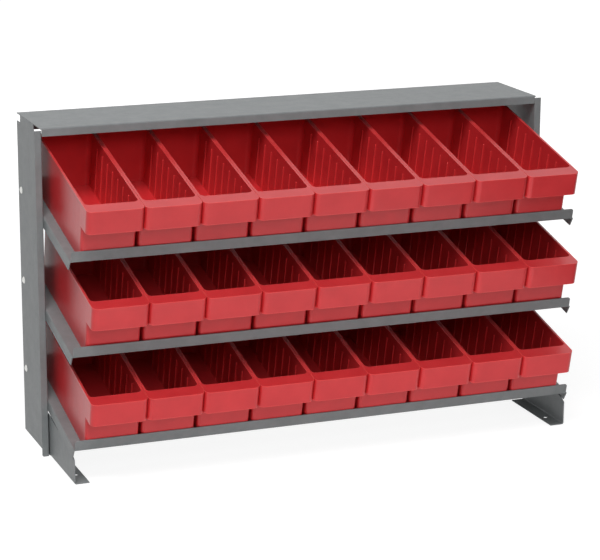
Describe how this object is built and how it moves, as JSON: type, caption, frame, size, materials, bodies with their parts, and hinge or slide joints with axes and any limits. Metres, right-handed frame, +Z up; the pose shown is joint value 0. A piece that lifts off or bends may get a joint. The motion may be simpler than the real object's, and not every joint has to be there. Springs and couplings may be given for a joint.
{
  "type": "bench rack with drawers",
  "caption": "Bench rack: steel uprights carry sloped lipped shelves that hold rows of open plastic drawers with front grip hoods; each drawer tips up and lifts out over the lip.",
  "frame": {"origin": "midway between the two bench holes of the feet, in the plane of the bench top", "axes": "+X to the rack's right as seen from the front, along its length; +Y from the drawers to the open back; +Z up"},
  "size_m": [0.9144, 0.3658, 0.5588],
  "materials": {
    "steel": "grey powder coat, satin, fine orange peel",
    "zinc": "bright zinc plate",
    "drawer": "moulded red polypropylene, satin"
  },
  "bodies": {
    "rack": {"left_upright": "steel", "right_upright": "steel", "top_panel": "steel", "top_shelf": "steel", "middle_shelf": "steel", "bottom_shelf": "steel", "left_foot": "steel", "right_foot": "steel", "shelf_bolts": "zinc", "shelf_nuts": "zinc", "foot_bolts": "zinc", "foot_nuts": "zinc"},
    "drawer_top_1": {"drawer_top_1": "drawer"},
    "drawer_top_2": {"drawer_top_2": "drawer"},
    "drawer_top_3": {"drawer_top_3": "drawer"},
    "drawer_top_4": {"drawer_top_4": "drawer"},
    "drawer_top_5": {"drawer_top_5": "drawer"},
    "drawer_top_6": {"drawer_top_6": "drawer"},
    "drawer_top_7": {"drawer_top_7": "drawer"},
    "drawer_top_8": {"drawer_top_8": "drawer"},
    "drawer_top_9": {"drawer_top_9": "drawer"},
    "drawer_middle_1": {"drawer_middle_1": "drawer"},
    "drawer_middle_2": {"drawer_middle_2": "drawer"},
    "drawer_middle_3": {"drawer_middle_3": "drawer"},
    "drawer_middle_4": {"drawer_middle_4": "drawer"},
    "drawer_middle_5": {"drawer_middle_5": "drawer"},
    "drawer_middle_6": {"drawer_middle_6": "drawer"},
    "drawer_middle_7": {"drawer_middle_7": "drawer"},
    "drawer_middle_8": {"drawer_middle_8": "drawer"},
    "drawer_middle_9": {"drawer_middle_9": "drawer"},
    "drawer_bottom_1": {"drawer_bottom_1": "drawer"},
    "drawer_bottom_2": {"drawer_bottom_2": "drawer"},
    "drawer_bottom_3": {"drawer_bottom_3": "drawer"},
    "drawer_bottom_4": {"drawer_bottom_4": "drawer"},
    "drawer_bottom_5": {"drawer_bottom_5": "drawer"},
    "drawer_bottom_6": {"drawer_bottom_6": "drawer"},
    "drawer_bottom_7": {"drawer_bottom_7": "drawer"},
    "drawer_bottom_8": {"drawer_bottom_8": "drawer"},
    "drawer_bottom_9": {"drawer_bottom_9": "drawer"}
  },
  "joints": [
    {"name": "tip_top_1", "type": "hinge", "parent": "rack", "child": "drawer_top_1", "pos_m": [-0.3828, 0.21216, 0.43548], "axis": [-1, 0, 0], "range_deg": [0, 18.3]},
    {"name": "tip_top_2", "type": "hinge", "parent": "rack", "child": "drawer_top_2", "pos_m": [-0.28755, 0.21216, 0.43548], "axis": [-1, 0, 0], "range_deg": [0, 18.3]},
    {"name": "tip_top_3", "type": "hinge", "parent": "rack", "child": "drawer_top_3", "pos_m": [-0.1923, 0.21216, 0.43548], "axis": [-1, 0, 0], "range_deg": [0, 18.3]},
    {"name": "tip_top_4", "type": "hinge", "parent": "rack", "child": "drawer_top_4", "pos_m": [-0.09705, 0.21216, 0.43548], "axis": [-1, 0, 0], "range_deg": [0, 18.3]},
    {"name": "tip_top_5", "type": "hinge", "parent": "rack", "child": "drawer_top_5", "pos_m": [-0.0018, 0.21216, 0.43548], "axis": [-1, 0, 0], "range_deg": [0, 18.3]},
    {"name": "tip_top_6", "type": "hinge", "parent": "rack", "child": "drawer_top_6", "pos_m": [0.09345, 0.21216, 0.43548], "axis": [-1, 0, 0], "range_deg": [0, 18.3]},
    {"name": "tip_top_7", "type": "hinge", "parent": "rack", "child": "drawer_top_7", "pos_m": [0.1887, 0.21216, 0.43548], "axis": [-1, 0, 0], "range_deg": [0, 18.3]},
    {"name": "tip_top_8", "type": "hinge", "parent": "rack", "child": "drawer_top_8", "pos_m": [0.28395, 0.21216, 0.43548], "axis": [-1, 0, 0], "range_deg": [0, 18.3]},
    {"name": "tip_top_9", "type": "hinge", "parent": "rack", "child": "drawer_top_9", "pos_m": [0.3792, 0.21216, 0.43548], "axis": [-1, 0, 0], "range_deg": [0, 18.3]},
    {"name": "tip_middle_1", "type": "hinge", "parent": "rack", "child": "drawer_middle_1", "pos_m": [-0.3766, 0.21352, 0.2791], "axis": [-1, 0, 0], "range_deg": [0, 11.7]},
    {"name": "tip_middle_2", "type": "hinge", "parent": "rack", "child": "drawer_middle_2", "pos_m": [-0.28135, 0.21352, 0.2791], "axis": [-1, 0, 0], "range_deg": [0, 11.7]},
    {"name": "tip_middle_3", "type": "hinge", "parent": "rack", "child": "drawer_middle_3", "pos_m": [-0.1861, 0.21352, 0.2791], "axis": [-1, 0, 0], "range_deg": [0, 11.7]},
    {"name": "tip_middle_4", "type": "hinge", "parent": "rack", "child": "drawer_middle_4", "pos_m": [-0.09085, 0.21352, 0.2791], "axis": [-1, 0, 0], "range_deg": [0, 11.7]},
    {"name": "tip_middle_5", "type": "hinge", "parent": "rack", "child": "drawer_middle_5", "pos_m": [0.0044, 0.21352, 0.2791], "axis": [-1, 0, 0], "range_deg": [0, 11.7]},
    {"name": "tip_middle_6", "type": "hinge", "parent": "rack", "child": "drawer_middle_6", "pos_m": [0.09965, 0.21352, 0.2791], "axis": [-1, 0, 0], "range_deg": [0, 11.7]},
    {"name": "tip_middle_7", "type": "hinge", "parent": "rack", "child": "drawer_middle_7", "pos_m": [0.1949, 0.21352, 0.2791], "axis": [-1, 0, 0], "range_deg": [0, 11.7]},
    {"name": "tip_middle_8", "type": "hinge", "parent": "rack", "child": "drawer_middle_8", "pos_m": [0.29015, 0.21352, 0.2791], "axis": [-1, 0, 0], "range_deg": [0, 11.7]},
    {"name": "tip_middle_9", "type": "hinge", "parent": "rack", "child": "drawer_middle_9", "pos_m": [0.3854, 0.21352, 0.2791], "axis": [-1, 0, 0], "range_deg": [0, 11.7]},
    {"name": "tip_bottom_1", "type": "hinge", "parent": "rack", "child": "drawer_bottom_1", "pos_m": [-0.3818, 0.21197, 0.12203], "axis": [-1, 0, 0], "range_deg": [0, 11.8]},
    {"name": "tip_bottom_2", "type": "hinge", "parent": "rack", "child": "drawer_bottom_2", "pos_m": [-0.28655, 0.21197, 0.12203], "axis": [-1, 0, 0], "range_deg": [0, 11.8]},
    {"name": "tip_bottom_3", "type": "hinge", "parent": "rack", "child": "drawer_bottom_3", "pos_m": [-0.1913, 0.21197, 0.12203], "axis": [-1, 0, 0], "range_deg": [0, 11.8]},
    {"name": "tip_bottom_4", "type": "hinge", "parent": "rack", "child": "drawer_bottom_4", "pos_m": [-0.09605, 0.21197, 0.12203], "axis": [-1, 0, 0], "range_deg": [0, 11.8]},
    {"name": "tip_bottom_5", "type": "hinge", "parent": "rack", "child": "drawer_bottom_5", "pos_m": [-0.0008, 0.21197, 0.12203], "axis": [-1, 0, 0], "range_deg": [0, 11.8]},
    {"name": "tip_bottom_6", "type": "hinge", "parent": "rack", "child": "drawer_bottom_6", "pos_m": [0.09445, 0.21197, 0.12203], "axis": [-1, 0, 0], "range_deg": [0, 11.8]},
    {"name": "tip_bottom_7", "type": "hinge", "parent": "rack", "child": "drawer_bottom_7", "pos_m": [0.1897, 0.21197, 0.12203], "axis": [-1, 0, 0], "range_deg": [0, 11.8]},
    {"name": "tip_bottom_8", "type": "hinge", "parent": "rack", "child": "drawer_bottom_8", "pos_m": [0.28495, 0.21197, 0.12203], "axis": [-1, 0, 0], "range_deg": [0, 11.8]},
    {"name": "tip_bottom_9", "type": "hinge", "parent": "rack", "child": "drawer_bottom_9", "pos_m": [0.3802, 0.21197, 0.12203], "axis": [-1, 0, 0], "range_deg": [0, 11.8]}
  ]
}
